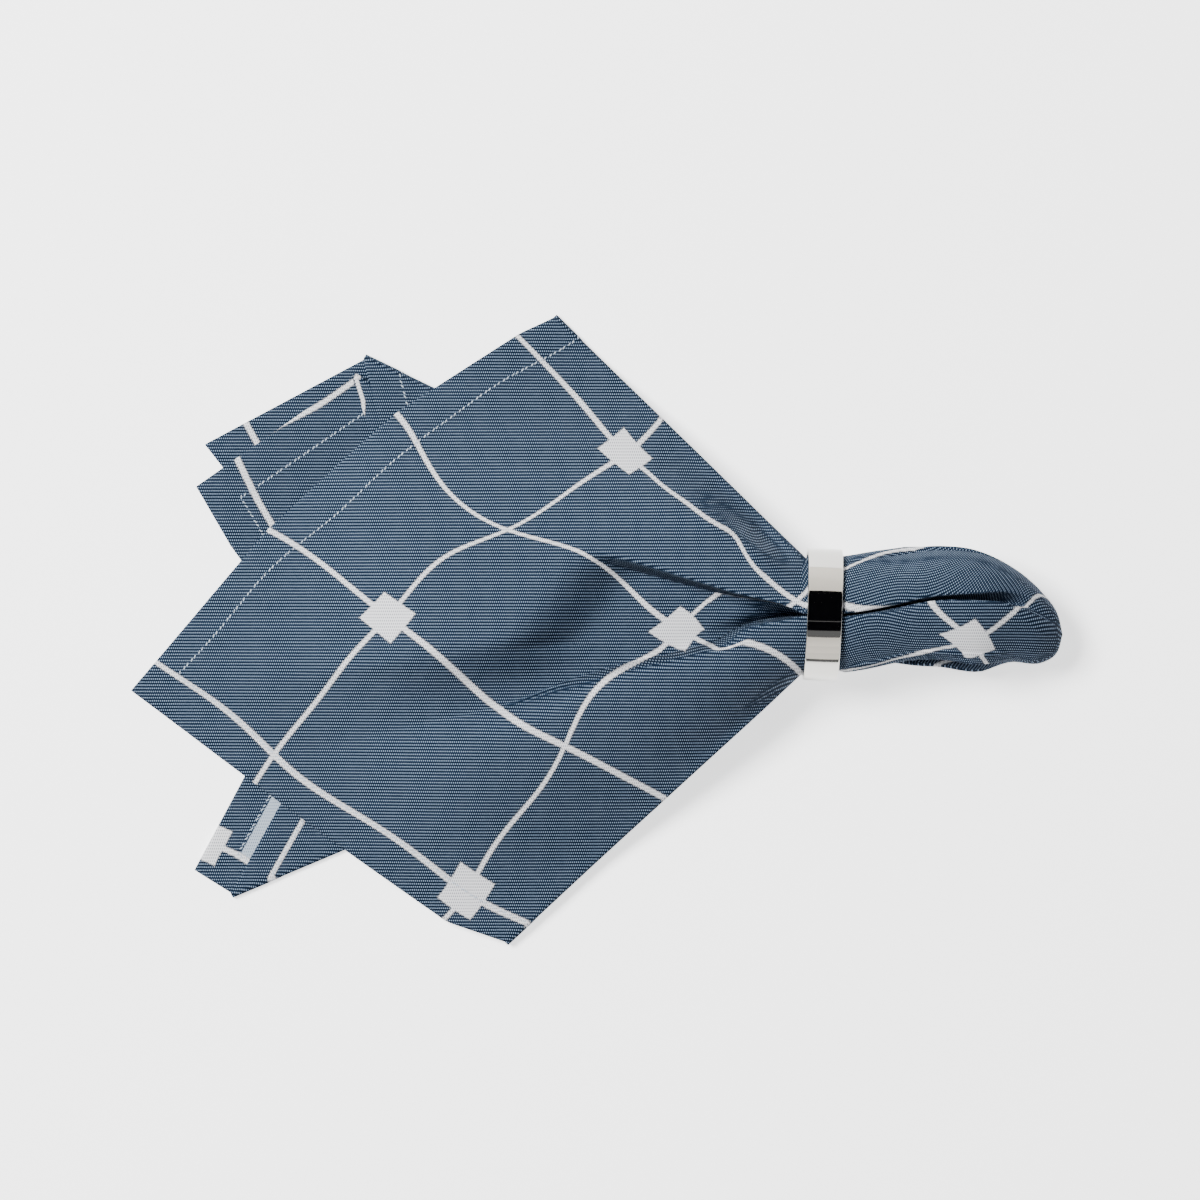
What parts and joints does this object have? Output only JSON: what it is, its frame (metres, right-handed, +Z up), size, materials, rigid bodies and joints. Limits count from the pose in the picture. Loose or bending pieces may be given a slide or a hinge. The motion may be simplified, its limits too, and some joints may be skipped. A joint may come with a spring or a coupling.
{
  "type": "cloth napkin in a napkin ring",
  "caption": "Square checked cloth napkin, folded into a loose fan, gathered across its middle and held by a flat polished metal ring, lying on a table.",
  "frame": {"origin": "middle of the bounding box's underside, on the table", "axes": "+X from the fanned hem through the ring to the puffed tip, +Y across the gather, +Z up"},
  "size_m": [0.3196, 0.2164, 0.0451],
  "materials": {
    "blue_cotton": "matte woven cotton",
    "polished_steel": "polished"
  },
  "bodies": {
    "root": {"napkin_cloth": "blue_cotton", "napkin_ring": "polished_steel"}
  },
  "joints": []
}
